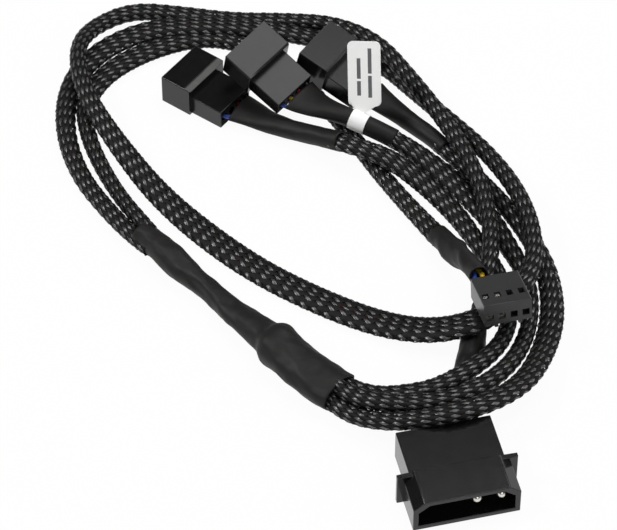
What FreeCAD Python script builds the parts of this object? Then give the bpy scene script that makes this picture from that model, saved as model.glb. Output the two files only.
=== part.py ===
import FreeCAD, Part
import math
import os

os.makedirs("parts", exist_ok=True)
Vector = FreeCAD.Vector

# Fan splitter cable, laid out on a table as a loose double loop.
# Millimetres, +Z up, table at z = 0, power plug facing -Y.

# Leads
sleeveDiameter = 3.5
sleeveWall = 0.25
bundleClearance = 0.05
shrinkWall = 0.35
fanWireDiameter = 0.95
powerWireDiameter = 1.4
wireGap = 0.2
wireEase = 0.22
arcShare = 0.45
wireFirstAngle = {2: 0, 3: -30, 4: -45}

# Fan plugs
fanPitch = 2.54
fanWays = 4
fanShellLength = 7.6
fanShellHeight = 7.4
fanRearLength = 8.0
fanRearHeight = 4.7
fanSideStep = 1.0
fanEndMargin = 0.12
fanShellWall = 1.0
fanCavityDepth = 6.4
fanPinHeight = 2.5
fanPinWidth = 0.64
fanPinInset = 1.2
fanHoleClearance = 0.85
fanHoleDepth = 5.5
fanBarrelLength = 2.3
fanKeyWidth = 1.3
fanKeyDepth = 0.4
fanKeySpacing = 5.08

# Control socket
socketLength = 10.5
socketHeight = 5.0
socketWayHeight = 1.8
socketWays = 4
socketFrontWall = 1.0
socketMouth = 1.5
socketCavity = 1.9
socketWindowLength = 1.8
socketWindowWidth = 1.3
socketWindowInset = 1.4
socketTerminalLength = 6.0
socketTerminalBore = 1.0
socketRibWidth = 0.8
socketRibHeight = 0.7
socketRibLength = 6.5

# Power plug
powerPitch = 5.08
powerWays = 4
powerShellWidth = 22.2
powerShellHeight = 8.0
powerShellLength = 8.7
powerShellWall = 1.1
powerChamferSide = 2.3
powerChamferDrop = 1.8
powerRearWidth = 19.8
powerRearHeight = 7.7
powerRearLength = 10.5
powerCavityDepth = 8.0
powerPinDiameter = 2.1
powerPinInset = 1.2
powerHoleFloor = 1.6
powerBarrelDiameter = 3.2
powerBarrelClearance = 0.4
powerBarrelLength = 5.0
powerCollarStep = 0.2
powerEarReach = 1.4
powerEarThickness = 1.1
powerEarDrop = 0.3
edgeRadius = 0.25

# Flag label
labelLength = 15.0
labelWidth = 7.4
labelThickness = 0.3
labelCorner = 1.2
labelWrapWidth = 3.8
labelWrapWall = 0.2
labelLean = 35
labelSkew = 9

# Junction shrink
junctionWall = 0.5

# Where the plugs lie: the middle of each plug's lower rear edge, then its heading, pitch and roll in degrees.
fanPlaces = {
    "left": (Vector(-6.8, 52.82, 0), 130, 0, 0),
    "middle": (Vector(5.6, 49.5, 5.25), 126, 18, -12),
    "right": (Vector(22.0, 49.7, 2.3), 132.5, 14, 0),
}
socketPlace = (Vector(32.5, -18.82, 8.41), -90, 14, 0)
powerPlugRear = Vector(13.2, -49.5, 0)

# Wire ways that are filled, counted from the right looking along the plug's nose.
fanWires = {
    "left": {"ground": 0, "supply": 1, "control": 3},
    "middle": {"ground": 0, "supply": 1, "speed": 2, "control": 3},
    "right": {"ground": 0, "supply": 1, "control": 3},
}
socketWires = {"control": 0, "speed": 1}
powerWires = {"supply": 2, "ground": 3}

# Junction sections: centre and outer radius, from the two-lead end to the three-lead end.
junctionSections = [
    (Vector(-34.8, 19.9, 3.3), 3.2),
    (Vector(-30.2, 11.5, 3.4), 3.3),
    (Vector(-26.7, 5.5, 3.1), 3.0),
    (Vector(-23.9, 0.6, 2.6), 2.5),
    (Vector(-20.7, -5.5, 2.7), 2.6),
    (Vector(-17.7, -11.1, 3.4), 3.2),
    (Vector(-15.5, -15.3, 4.3), 4.1),
    (Vector(-13.7, -18.7, 4.7), 4.7),
    (Vector(-11.1, -23.2, 4.5), 4.4),
    (Vector(-7.1, -29.8, 4.7), 4.6),
    (Vector(-4.4, -33.3, 4.85), 4.75),
]

# Lead routes, each from the junction to its plug: the points in the open, then those under the heat-shrink.
routes = {
    "power": (
        [
            (-36.7, 19.6, 2.3), (-40.3, 29.5, 1.9), (-43.9, 40.3, 1.8), (-44.9, 52.2, 1.8),
            (-43.0, 63.4, 1.8), (-38.3, 72.5, 1.8), (-30.8, 78.7, 1.8), (-21.2, 81.5, 1.8),
            (-10.7, 80.3, 1.8), (-0.2, 77.0, 1.8), (10.4, 73.1, 1.8), (20.6, 67.4, 1.8),
            (28.7, 58.9, 1.8), (34.2, 48.2, 1.8), (39.7, 37.5, 2.2), (43.8, 24.0, 4.6),
            (46.1, 10.1, 5.9), (46.0, -2.3, 6.0), (42.5, -12.9, 6.2), (35.5, -20.3, 6.6),
            (27.0, -23.1, 7.0), (18.1, -21.1, 4.6), (9.0, -14.8, 2.0), (-1.7, -5.6, 1.8),
            (-12.1, 5.6, 1.8), (-21.0, 18.7, 1.8), (-28.2, 31.7, 2.4), (-33.3, 44.3, 5.0),
            (-36.7, 56.7, 6.0), (-38.1, 67.1, 6.2), (-37.1, 77.1, 5.4), (-31.7, 85.5, 2.2),
            (-22.5, 88.9, 1.8), (-11.9, 86.0, 1.8), (-1.1, 82.0, 1.8), (10.5, 78.1, 1.9),
            (20.8, 72.5, 3.2), (28.0, 62.1, 5.8), (32.0, 49.1, 6.2), (35.8, 35.9, 6.0),
            (38.4, 22.8, 5.8), (38.7, 9.9, 5.8), (36.9, -0.7, 6.0), (34.3, -8.9, 6.1),
            (31.3, -15.3, 5.2),
        ],
        [
            (28.3, -21.7, 2.8), (25.1, -28.1, 2.2), (21.7, -34.5, 2.3),
        ],
    ),
    "control": (
        [
            (-33.6, 21.1, 4.1), (-36.7, 31.4, 2.3), (-39.0, 42.3, 1.8), (-40.1, 52.7, 1.8),
            (-38.9, 61.7, 1.8), (-34.3, 68.3, 1.8), (-27.1, 72.4, 1.8), (-18.1, 74.8, 1.8),
            (-8.9, 74.9, 1.8), (-0.7, 70.8, 1.8), (6.2, 62.7, 1.8), (12.0, 51.8, 1.8),
            (15.9, 40.4, 1.8), (18.8, 28.7, 1.8), (22.1, 18.3, 1.8), (25.5, 9.1, 2.0),
        ],
        [
            (27.7, 1.5, 3.4), (29.1, -5.5, 6.4), (29.9, -12.4, 9.5),
        ],
    ),
    "left": (
        [
            (-2.3, -32.3, 3.4), (2.2, -36.5, 4.2), (8.3, -38.7, 5.8), (14.3, -38.2, 6.8),
            (21.2, -35.7, 6.9), (27.9, -30.4, 5.2), (32.9, -23.4, 2.6), (34.8, -15.7, 1.8),
            (34.6, -7.1, 1.8), (33.0, 2.3, 1.8), (30.3, 12.0, 1.9), (26.2, 20.7, 3.6),
            (20.9, 26.7, 6.0), (15.4, 31.5, 6.2),
        ],
        [
            (9.9, 37.1, 4.4), (3.9, 42.7, 2.5), (-1.2, 47.1, 2.3), (-4.2, 50.5, 2.4),
        ],
    ),
    "middle": (
        [
            (-4.2, -33.6, 6.7), (-0.5, -38.3, 7.0), (5.9, -42.0, 7.3), (14.5, -43.4, 7.4),
            (22.9, -42.1, 7.0), (30.5, -37.8, 5.6), (36.7, -31.2, 3.6), (40.5, -23.9, 2.2),
            (42.4, -16.5, 1.8), (42.3, -8.7, 1.8), (41.3, -0.9, 1.8), (40.0, 6.3, 1.8),
            (38.1, 12.9, 1.8), (35.5, 18.9, 1.8), (32.1, 24.9, 2.0), (27.3, 30.5, 3.8),
        ],
        [
            (21.3, 35.1, 6.0), (15.1, 40.1, 7.0), (11.6, 43.3, 7.0), (8.7, 45.8, 6.8),
        ],
    ),
    "right": (
        [
            (-6.0, -35.2, 3.4), (-2.4, -40.6, 4.0), (4.7, -45.2, 5.6), (13.5, -47.2, 7.4),
            (23.0, -46.3, 7.6), (32.0, -41.7, 6.0), (39.5, -34.1, 3.4), (44.7, -25.1, 2.0),
            (47.3, -15.9, 1.8), (47.7, -6.7, 1.8), (46.0, 2.1, 1.8), (43.1, 11.5, 1.8),
            (39.9, 19.7, 1.8), (36.8, 26.5, 1.95),
        ],
        [
            (33.2, 33.5, 2.35), (29.0, 40.0, 2.8), (24.3, 46.0, 3.9),
        ],
    ),
}

sleeveRadius = sleeveDiameter / 2
bundleRadius = sleeveRadius - sleeveWall - bundleClearance
shrinkRadius = sleeveRadius + shrinkWall
fanRearWidth = fanWays * fanPitch + 2 * fanEndMargin
fanShellWidth = fanRearWidth + 2 * fanSideStep
fanLength = fanShellLength + fanRearLength
fanHoleDiameter = fanWireDiameter + fanHoleClearance
socketWidth = socketWays * fanPitch
powerLength = powerShellLength + powerRearLength
powerPinHeight = powerShellHeight / 2
powerHoleDiameter = powerBarrelDiameter + powerBarrelClearance
powerCollarDiameter = powerPinDiameter + 2 * powerCollarStep


def writePart(name, shape):
    shape.exportStep("parts/" + name + ".step")


def block(x, y, z, length, width, height):
    return Part.makeBox(length, width, height, Vector(x, y, z))


def softened(shape, radius, axis):
    """The shape with its straight edges along one axis rounded."""
    edges = []
    for edge in shape.Edges:
        run = edge.Vertexes[-1].Point - edge.Vertexes[0].Point
        if run.Length > 0 and abs(run.normalize().dot(axis)) > 0.999:
            edges.append(edge)
    return shape.makeFillet(radius, edges)


def pathEdges(corners):
    """Straight runs joined by the largest tangent arcs that the runs allow, and the arcs' radii."""
    edges = []
    radii = []
    start = corners[0]
    for before, corner, after in zip(corners, corners[1:], corners[2:]):
        inward = (before - corner).normalize()
        outward = (after - corner).normalize()
        turn = math.pi - inward.getAngle(outward)
        reach = arcShare * min((before - corner).Length, (after - corner).Length)
        radius = reach / math.tan(turn / 2)
        depth = radius / math.cos(turn / 2) - radius
        first = corner + inward * reach
        middle = corner + (inward + outward).normalize() * depth
        last = corner + outward * reach
        edges.append(Part.LineSegment(start, first).toShape())
        edges.append(Part.Arc(first, middle, last).toShape())
        radii.append(radius)
        start = last
    edges.append(Part.LineSegment(start, corners[-1]).toShape())
    return edges, radii


def splitRoute(edges, run):
    """The route's edges before and after the middle of one straight run."""
    index = 2 * run
    first = edges[index].Vertexes[0].Point
    last = edges[index].Vertexes[-1].Point
    middle = (first + last) * 0.5
    before = edges[:index] + [Part.LineSegment(first, middle).toShape()]
    after = [Part.LineSegment(middle, last).toShape()] + edges[index + 1:]
    return before, after


def rod(edges, radius):
    """A solid round rod along the edges."""
    start = edges[0].Vertexes[0].Point
    along = edges[0].Vertexes[-1].Point - start
    profile = Part.Face(Part.Wire(Part.makeCircle(radius, start, along)))
    return Part.Wire(edges).makePipe(profile).Solids[0]


def tube(edges, radius, bore):
    """A round tube along the edges."""
    start = edges[0].Vertexes[0].Point
    along = edges[0].Vertexes[-1].Point - start
    outer = Part.Face(Part.Wire(Part.makeCircle(radius, start, along)))
    inner = Part.Face(Part.Wire(Part.makeCircle(bore, start, along)))
    return Part.Wire(edges).makePipe(outer.cut(inner).Faces[0]).Solids[0]


def placed(shape, place):
    """A plug built along +X from its lower rear edge, moved to its place."""
    spot, heading, pitch, roll = place
    result = shape.copy()
    result.Placement = FreeCAD.Placement(spot, FreeCAD.Rotation(heading, -pitch, roll))
    return result


def placedPoint(point, place):
    spot, heading, pitch, roll = place
    return spot + FreeCAD.Rotation(heading, -pitch, roll).multVec(point)


def wireFan(end, along, diameter, targets):
    """Short insulated wires from a heat-shrink's end to a plug's back, listed from right to left."""
    count = len(targets)
    ring = (diameter + wireGap) / 2 / math.sin(math.pi / count)
    side = along.cross(Vector(0, 0, 1)).normalize()
    rise = side.cross(along).normalize()
    reach = wireEase * min((entry - end).Length for entry, seat in targets)
    wires = []
    for index, (entry, seat) in enumerate(targets):
        angle = math.radians(wireFirstAngle[count]) + 2 * math.pi * index / count
        start = end + side * (ring * math.cos(angle)) + rise * (ring * math.sin(angle))
        inward = (seat - entry).normalize()
        edges, radii = pathEdges([start, start + along * reach, entry - inward * reach, seat])
        print("wire bend radii in wire radii", [round(radius / diameter * 2, 2) for radius in radii])
        wires.append(rod(edges, diameter / 2))
    return wires


def wayOffset(way, pitch, ways):
    return (way - (ways - 1) / 2) * pitch


def fanPlugHousing():
    """Moulded plug: a tall shell round the pins and a lower block that takes the wires."""
    shell = block(fanRearLength, -fanShellWidth / 2, 0, fanShellLength, fanShellWidth, fanShellHeight)
    shell = softened(shell, edgeRadius, Vector(1, 0, 0))
    rear = block(0, -fanRearWidth / 2, 0, fanRearLength, fanRearWidth, fanRearHeight)
    body = shell.fuse(rear).removeSplitter()
    floor = fanLength - fanCavityDepth
    cavityWidth = fanShellWidth - 2 * fanShellWall
    cavityHeight = fanShellHeight - 2 * fanShellWall
    cuts = [block(floor, -cavityWidth / 2, fanShellWall, fanCavityDepth, cavityWidth, cavityHeight)]
    for side in (-1, 1):
        middle = side * fanKeySpacing / 2
        top = fanShellHeight - fanShellWall
        cuts.append(block(floor, middle - fanKeyWidth / 2, top, fanCavityDepth, fanKeyWidth, fanKeyDepth))
    for way in range(fanWays):
        offset = wayOffset(way, fanPitch, fanWays)
        half = fanPinWidth / 2
        back = Vector(0, offset, fanPinHeight)
        cuts.append(Part.makeCylinder(fanHoleDiameter / 2, fanHoleDepth, back, Vector(1, 0, 0)))
        cuts.append(block(fanHoleDepth, offset - half, fanPinHeight - half,
                          floor - fanHoleDepth, fanPinWidth, fanPinWidth))
    return body.cut(cuts)


def fanPin(way):
    """Square post with a round crimp barrel behind it."""
    offset = wayOffset(way, fanPitch, fanWays)
    half = fanPinWidth / 2
    tip = fanLength - fanPinInset
    post = block(fanHoleDepth, offset - half, fanPinHeight - half,
                 tip - fanHoleDepth, fanPinWidth, fanPinWidth)
    base = Vector(fanHoleDepth - fanBarrelLength, offset, fanPinHeight)
    barrel = Part.makeCylinder(fanHoleDiameter / 2, fanBarrelLength, base, Vector(1, 0, 0))
    return post.fuse(barrel).removeSplitter()


def controlSocketHousing():
    """Moulded socket: four ways, open at the mouth, with a latch window over each terminal."""
    body = block(0, -socketWidth / 2, 0, socketLength, socketWidth, socketHeight)
    body = softened(body, edgeRadius, Vector(1, 0, 0))
    ribs = []
    for side in (-1, 1):
        middle = side * fanKeySpacing / 2
        ribs.append(block(socketLength - socketRibLength, middle - socketRibWidth / 2, -socketRibHeight,
                          socketRibLength, socketRibWidth, socketRibHeight))
    body = body.fuse(ribs).removeSplitter()
    cuts = []
    half = socketCavity / 2
    height = socketWayHeight
    cavityEnd = socketLength - socketFrontWall
    windowStart = cavityEnd - socketWindowInset - socketWindowLength
    for way in range(socketWays):
        offset = wayOffset(way, fanPitch, socketWays)
        cuts.append(block(0, offset - half, height - half, cavityEnd, socketCavity, socketCavity))
        cuts.append(block(cavityEnd, offset - socketMouth / 2, height - socketMouth / 2,
                          socketFrontWall, socketMouth, socketMouth))
        cuts.append(block(windowStart, offset - socketWindowWidth / 2, height,
                          socketWindowLength, socketWindowWidth, socketHeight - height))
    return body.cut(cuts)


def controlTerminal(way):
    """Folded box terminal, seated against the socket's front wall."""
    offset = wayOffset(way, fanPitch, socketWays)
    half = socketCavity / 2
    height = socketWayHeight
    front = socketLength - socketFrontWall
    box = block(front - socketTerminalLength, offset - half, height - half,
                socketTerminalLength, socketCavity, socketCavity)
    depth = socketTerminalLength / 2
    bore = block(front - depth, offset - socketTerminalBore / 2, height - socketTerminalBore / 2,
                 depth, socketTerminalBore, socketTerminalBore)
    return box.cut(bore)


def powerOutline(inset, depth, front):
    """The shell's section, flat below and chamfered at both upper edges, pushed back along +Y."""
    half = powerShellWidth / 2 - inset
    low = inset
    high = powerShellHeight - inset
    side = powerChamferSide
    drop = powerChamferDrop
    corners = [(-half, low), (half, low), (half, high - drop), (half - side, high),
               (-half + side, high), (-half, high - drop), (-half, low)]
    wire = Part.makePolygon([Vector(x, front, z) for x, z in corners])
    return Part.Face(wire).extrude(Vector(0, depth, 0))


def powerPlugHousing():
    """Moulded plug: open shell in front, plain block behind, a finger ear at each side."""
    front = -powerLength
    ledge = -powerRearLength
    shell = powerOutline(0, powerShellLength, front)
    rear = block(-powerRearWidth / 2, ledge, 0, powerRearWidth, powerRearLength, powerRearHeight)
    rear = softened(rear, edgeRadius, Vector(0, 1, 0))
    earWidth = powerShellWidth + 2 * powerEarReach
    ears = block(-earWidth / 2, ledge - powerEarThickness, 0, earWidth, powerEarThickness,
                 powerShellHeight - powerEarDrop)
    body = shell.fuse([rear, ears]).removeSplitter()
    cuts = [powerOutline(powerShellWall, powerCavityDepth, front)]
    floor = front + powerCavityDepth
    for way in range(powerWays):
        offset = wayOffset(way, powerPitch, powerWays)
        back = Vector(offset, 0, powerPinHeight)
        holeDepth = -floor - powerHoleFloor
        cuts.append(Part.makeCylinder(powerHoleDiameter / 2, holeDepth, back, Vector(0, -1, 0)))
        cuts.append(Part.makeCylinder(powerCollarDiameter / 2, -floor, back, Vector(0, -1, 0)))
    return body.cut(cuts)


def powerPin(way):
    """Turned pin with a rounded tip, held by its barrel in the rear block."""
    offset = wayOffset(way, powerPitch, powerWays)
    floor = -powerLength + powerCavityDepth
    seat = floor + powerHoleFloor
    radius = powerPinDiameter / 2
    tip = -powerLength + powerPinInset
    forward = Vector(0, -1, 0)
    barrel = Part.makeCylinder(powerBarrelDiameter / 2, powerBarrelLength,
                               Vector(offset, seat + powerBarrelLength, powerPinHeight), forward)
    collar = Part.makeCylinder(powerCollarDiameter / 2, powerHoleFloor,
                               Vector(offset, seat, powerPinHeight), forward)
    shank = Part.makeCylinder(radius, floor - tip - radius, Vector(offset, floor, powerPinHeight), forward)
    end = Part.makeSphere(radius, Vector(offset, tip + radius, powerPinHeight))
    return barrel.fuse([collar, shank, end]).removeSplitter()


def junctionLoft(inset):
    """Round sections set square to the junction's bent axis."""
    centres = [centre for centre, radius in junctionSections]
    wires = []
    for index, (centre, radius) in enumerate(junctionSections):
        before = centres[max(index - 1, 0)]
        after = centres[min(index + 1, len(centres) - 1)]
        wires.append(Part.Wire(Part.makeCircle(radius - inset, centre, after - before)))
    return Part.makeLoft(wires, True, True)


def flagLabel(edges):
    """Paper strip wrapped round a heat-shrink, its two ends pressed together as a flag."""
    start = edges[2].Vertexes[0].Point
    along = edges[2].Vertexes[-1].Point - start
    outer = shrinkRadius + labelWrapWall
    ring = Part.makeCylinder(outer, labelWrapWidth, Vector(-labelWrapWidth / 2, 0, 0), Vector(1, 0, 0))
    flag = block(-labelWidth / 2, -labelThickness / 2, outer - labelWrapWall / 2,
                 labelWidth, labelThickness, labelLength)
    flag = softened(flag, labelCorner, Vector(0, 1, 0))
    flag.rotate(Vector(0, 0, 0), Vector(0, 1, 0), labelSkew)
    label = ring.fuse(flag).removeSplitter()
    heading = math.degrees(math.atan2(along.y, along.x))
    rise = math.degrees(math.asin(along.z / along.Length))
    label.Placement = FreeCAD.Placement(start + along * 0.5, FreeCAD.Rotation(heading, -rise, labelLean))
    return label.cut(rod(edges, shrinkRadius))


# Junction
shrink = junctionLoft(0)
splice = junctionLoft(junctionWall)
writePart("junction_heat_shrink", shrink.cut(splice))
writePart("junction_wire_splice", splice)

# Leads
leadEnds = {}
shrinkRoutes = {}
for name, (openPoints, coveredPoints) in routes.items():
    edges, radii = pathEdges([Vector(*point) for point in openPoints + coveredPoints])
    sleevePath, shrinkPath = splitRoute(edges, len(openPoints) - 1)
    lead = name if name in ("power", "control") else "fan_" + name
    bore = sleeveRadius - sleeveWall
    sleeve = tube(sleevePath, sleeveRadius, bore)
    writePart(lead + "_lead_sleeve", sleeve)
    writePart(lead + "_lead_wires", rod(edges, bundleRadius))
    writePart(lead + "_heat_shrink", tube(shrinkPath, shrinkRadius, bore))
    section = math.pi * (sleeveRadius * sleeveRadius - bore * bore)
    length = Part.Wire(sleevePath).Length
    print(lead, "length", round(Part.Wire(edges).Length, 1),
          "sleeve volume over section times length", round(sleeve.Volume / (section * length), 4))
    print(lead, "bend radii in sleeve diameters", [round(radius / sleeveDiameter, 1) for radius in radii])
    finish = edges[-1].Vertexes[-1].Point
    leadEnds[name] = (finish, (finish - edges[-1].Vertexes[0].Point).normalize())
    shrinkRoutes[name] = shrinkPath

# Fan plugs
for name, place in fanPlaces.items():
    writePart("fan_" + name + "_plug_housing", placed(fanPlugHousing(), place))
    targets = []
    for role, way in fanWires[name].items():
        writePart("fan_" + name + "_pin_" + role, placed(fanPin(way), place))
        offset = wayOffset(way, fanPitch, fanWays)
        entry = placedPoint(Vector(0, offset, fanPinHeight), place)
        seat = placedPoint(Vector(fanHoleDepth - fanBarrelLength, offset, fanPinHeight), place)
        targets.append((entry, seat))
    end, along = leadEnds[name]
    wires = wireFan(end, along, fanWireDiameter, targets)
    for role, wire in zip(fanWires[name], wires):
        writePart("fan_" + name + "_wire_" + role, wire)

# Control socket
writePart("control_socket_housing", placed(controlSocketHousing(), socketPlace))
targets = []
for role, way in socketWires.items():
    writePart("control_terminal_" + role, placed(controlTerminal(way), socketPlace))
    offset = wayOffset(way, fanPitch, socketWays)
    seatX = socketLength - socketFrontWall - socketTerminalLength
    entry = placedPoint(Vector(0, offset, socketWayHeight), socketPlace)
    seat = placedPoint(Vector(seatX, offset, socketWayHeight), socketPlace)
    targets.append((entry, seat))
end, along = leadEnds["control"]
for role, wire in zip(socketWires, wireFan(end, along, fanWireDiameter, targets)):
    writePart("control_wire_" + role, wire)

# Power plug
powerPlace = FreeCAD.Placement(powerPlugRear, FreeCAD.Rotation())
housing = powerPlugHousing()
housing.Placement = powerPlace
writePart("power_plug_housing", housing)
targets = []
for role, way in powerWires.items():
    pin = powerPin(way)
    pin.Placement = powerPlace
    writePart("power_pin_" + role, pin)
    offset = wayOffset(way, powerPitch, powerWays)
    seatY = -powerLength + powerCavityDepth + powerHoleFloor + powerBarrelLength
    entry = powerPlugRear + Vector(offset, 0, powerPinHeight)
    seat = powerPlugRear + Vector(offset, seatY, powerPinHeight)
    targets.append((entry, seat))
end, along = leadEnds["power"]
for role, wire in zip(powerWires, wireFan(end, along, powerWireDiameter, targets)):
    writePart("power_wire_" + role, wire)

# Label on the middle fan lead
writePart("speed_lead_label", flagLabel(shrinkRoutes["middle"]))
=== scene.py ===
import math
import bmesh
import bpy
from mathutils import Matrix, Vector


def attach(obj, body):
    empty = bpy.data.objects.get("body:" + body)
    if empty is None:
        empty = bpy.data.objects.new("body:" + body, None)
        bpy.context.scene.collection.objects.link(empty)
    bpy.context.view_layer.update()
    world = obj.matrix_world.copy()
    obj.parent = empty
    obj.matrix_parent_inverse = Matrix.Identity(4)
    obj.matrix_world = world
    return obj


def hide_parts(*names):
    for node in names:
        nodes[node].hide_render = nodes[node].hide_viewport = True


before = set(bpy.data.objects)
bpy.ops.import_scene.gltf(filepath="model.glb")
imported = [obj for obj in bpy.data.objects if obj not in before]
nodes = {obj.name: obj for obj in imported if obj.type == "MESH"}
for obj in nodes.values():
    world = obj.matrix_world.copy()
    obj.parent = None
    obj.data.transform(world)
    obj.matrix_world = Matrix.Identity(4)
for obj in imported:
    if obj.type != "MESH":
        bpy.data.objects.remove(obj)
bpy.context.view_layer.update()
scene = bpy.context.scene
mm = 0.001
weld = 0.002 * mm           # corners of a copied solid that lie closer become one
upward = (0.0, 0.0, 1.0)
print("frame loaded,", len(nodes), "nodes")


# Node helpers
def setInput(tree, socket, value):
    if isinstance(value, bpy.types.NodeSocket):
        tree.links.new(value, socket)
    else:
        socket.default_value = value


def addNode(tree, kind, inputs=None, **settings):
    node = tree.nodes.new(kind)
    for name, value in settings.items():
        setattr(node, name, value)
    for name, value in (inputs or {}).items():
        setInput(tree, node.inputs[name], value)
    return node


def calc(tree, operation, *values):
    return addNode(tree, "ShaderNodeMath", dict(enumerate(values)), operation=operation).outputs[0]


def calcVector(tree, operation, *values):
    node = addNode(tree, "ShaderNodeVectorMath", dict(enumerate(values)), operation=operation)
    return node.outputs["Vector"]


def scaled(tree, vector, amount):
    inputs = {"Vector": vector, "Scale": amount}
    return addNode(tree, "ShaderNodeVectorMath", inputs, operation="SCALE").outputs["Vector"]


def summed(tree, *vectors):
    total = vectors[0]
    for vector in vectors[1:]:
        total = calcVector(tree, "ADD", total, vector)
    return total


def eased(tree, value, low, high):
    inputs = {"Value": value, "From Min": low, "From Max": high}
    return addNode(tree, "ShaderNodeMapRange", inputs, interpolation_type="SMOOTHSTEP").outputs[0]


def remapped(tree, value, low, high):
    inputs = {"Value": value, "To Min": low, "To Max": high}
    return addNode(tree, "ShaderNodeMapRange", inputs).outputs[0]


def newTree(name, kind, inputs, outputs):
    tree = bpy.data.node_groups.new(name, kind)
    for label, socketKind, default in inputs:
        socket = tree.interface.new_socket(label, in_out="INPUT", socket_type="NodeSocket" + socketKind)
        if default is not None:
            socket.default_value = default
    for label, socketKind in outputs:
        tree.interface.new_socket(label, in_out="OUTPUT", socket_type="NodeSocket" + socketKind)
    return tree, addNode(tree, "NodeGroupInput").outputs, addNode(tree, "NodeGroupOutput").inputs


def chosen(tree, mask, first, second):
    node = addNode(tree, "ShaderNodeMix", data_type="FLOAT")
    for place, value in ((0, mask), (2, first), (3, second)):
        setInput(tree, node.inputs[place], value)
    return node.outputs[0]


def showMixed(tree, outputKind, share, first, second):
    mix = addNode(tree, "ShaderNodeMixShader", {0: share, 1: first, 2: second})
    tree.links.new(mix.outputs[0], addNode(tree, outputKind).inputs[0])


def pieceFrom(shape, name, materials):
    mesh = bpy.data.meshes.new(name)
    shape.to_mesh(mesh)
    shape.free()
    for material in materials:
        mesh.materials.append(material)
    piece = bpy.data.objects.new(name, mesh)
    scene.collection.objects.link(piece)
    return piece


# Camera, at the photograph's angle
viewSettings = {
    "imageWidth": 617,         # pixels
    "pixelsPerMm": 4.7,        # at the target
    "distance": 750.0,         # mm
    "elevation": 48.0,         # degrees
    "turn": -13.5,
    "target": (-1.5, 5.5, 0.0),
    "sensor": 36.0,
    "nearClip": 0.01,          # m
}


def makeCamera(settings):
    elevation = math.radians(settings["elevation"])
    turn = math.radians(settings["turn"])
    level = math.cos(elevation)
    away = Vector((math.sin(turn) * level, -math.cos(turn) * level, math.sin(elevation)))
    data = bpy.data.cameras.new("studioCamera")
    data.sensor_fit = "HORIZONTAL"
    data.sensor_width = settings["sensor"]
    data.lens = settings["pixelsPerMm"] * settings["distance"] / settings["imageWidth"] * settings["sensor"]
    data.clip_start = settings["nearClip"]
    camera = bpy.data.objects.new("studioCamera", data)
    camera.location = (Vector(settings["target"]) + away * settings["distance"]) * mm
    camera.rotation_euler = (-away).to_track_quat("-Z", "Y").to_euler()
    scene.collection.objects.link(camera)
    scene.camera = camera


makeCamera(viewSettings)
print("camera set")


# Shader effects that several finishes share
effectSettings = {
    "patchScale": 0.09,                 # of the patches, to that of the grain
    "patchDetail": 4.0,
    "scuffTurn": (0.4, 0.3, 0.9),
    "scuffStretch": (1.0, 9.0, 3.0),
    "scuffNoise": {"Detail": 5.0, "Roughness": 0.6},
    "scuffEdge": (0.56, 0.74),
}


def grainGroup(settings):
    tree, given, made = newTree(
        "fineGrain", "ShaderNodeTree", [("Scale", "Float", 2500.0), ("Detail", "Float", 3.0)],
        [("Height", "Float"), ("Patch", "Float")])
    place = addNode(tree, "ShaderNodeTexCoord").outputs["Object"]
    fine = addNode(tree, "ShaderNodeTexNoise",
                   {"Vector": place, "Scale": given["Scale"], "Detail": given["Detail"]})
    scale = calc(tree, "MULTIPLY", given["Scale"], settings["patchScale"])
    broad = addNode(tree, "ShaderNodeTexNoise",
                    {"Vector": place, "Scale": scale, "Detail": settings["patchDetail"]})
    setInput(tree, made["Height"], fine.outputs["Fac"])
    setInput(tree, made["Patch"], broad.outputs["Fac"])
    return tree


def scuffGroup(settings):
    tree, given, made = newTree(
        "scuffs", "ShaderNodeTree", [("Scale", "Float", 300.0), ("Amount", "Float", 0.5)], [("Mask", "Float")])
    place = addNode(tree, "ShaderNodeTexCoord").outputs["Object"]
    turned = addNode(tree, "ShaderNodeMapping", {
        "Vector": place, "Rotation": settings["scuffTurn"],
        "Scale": settings["scuffStretch"]}).outputs["Vector"]
    streaks = addNode(tree, "ShaderNodeTexNoise",
                      {"Vector": turned, "Scale": given["Scale"], **settings["scuffNoise"]})
    mask = eased(tree, streaks.outputs["Fac"], *settings["scuffEdge"])
    setInput(tree, made["Mask"], calc(tree, "MULTIPLY", mask, given["Amount"]))
    return tree


fineGrain = grainGroup(effectSettings)
scuffs = scuffGroup(effectSettings)


def newMaterial(name, **values):
    material = bpy.data.materials.new(name)
    material.use_nodes = True
    tree = material.node_tree
    tree.nodes.clear()
    shader = addNode(tree, "ShaderNodeBsdfPrincipled")
    for label, value in values.items():
        shader.inputs[label].default_value = value
    output = addNode(tree, "ShaderNodeOutputMaterial")
    tree.links.new(shader.outputs[0], output.inputs[0])
    return material, tree, shader.inputs


def placeGroup(tree, group, **values):
    node = addNode(tree, "ShaderNodeGroup", node_tree=group)
    for label, value in values.items():
        setInput(tree, node.inputs[label], value)
    return node.outputs


def mixedColour(tree, mask, first, second):
    node = addNode(tree, "ShaderNodeMix", data_type="RGBA")
    setInput(tree, node.inputs[0], mask)
    for place, colour in ((6, first), (7, second)):
        setInput(tree, node.inputs[place], (*colour, 1.0) if isinstance(colour, tuple) else colour)
    return node.outputs[2]


def bumped(tree, height, strength, distance):
    inputs = {"Height": height, "Strength": strength, "Distance": distance}
    return addNode(tree, "ShaderNodeBump", inputs).outputs["Normal"]


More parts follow.
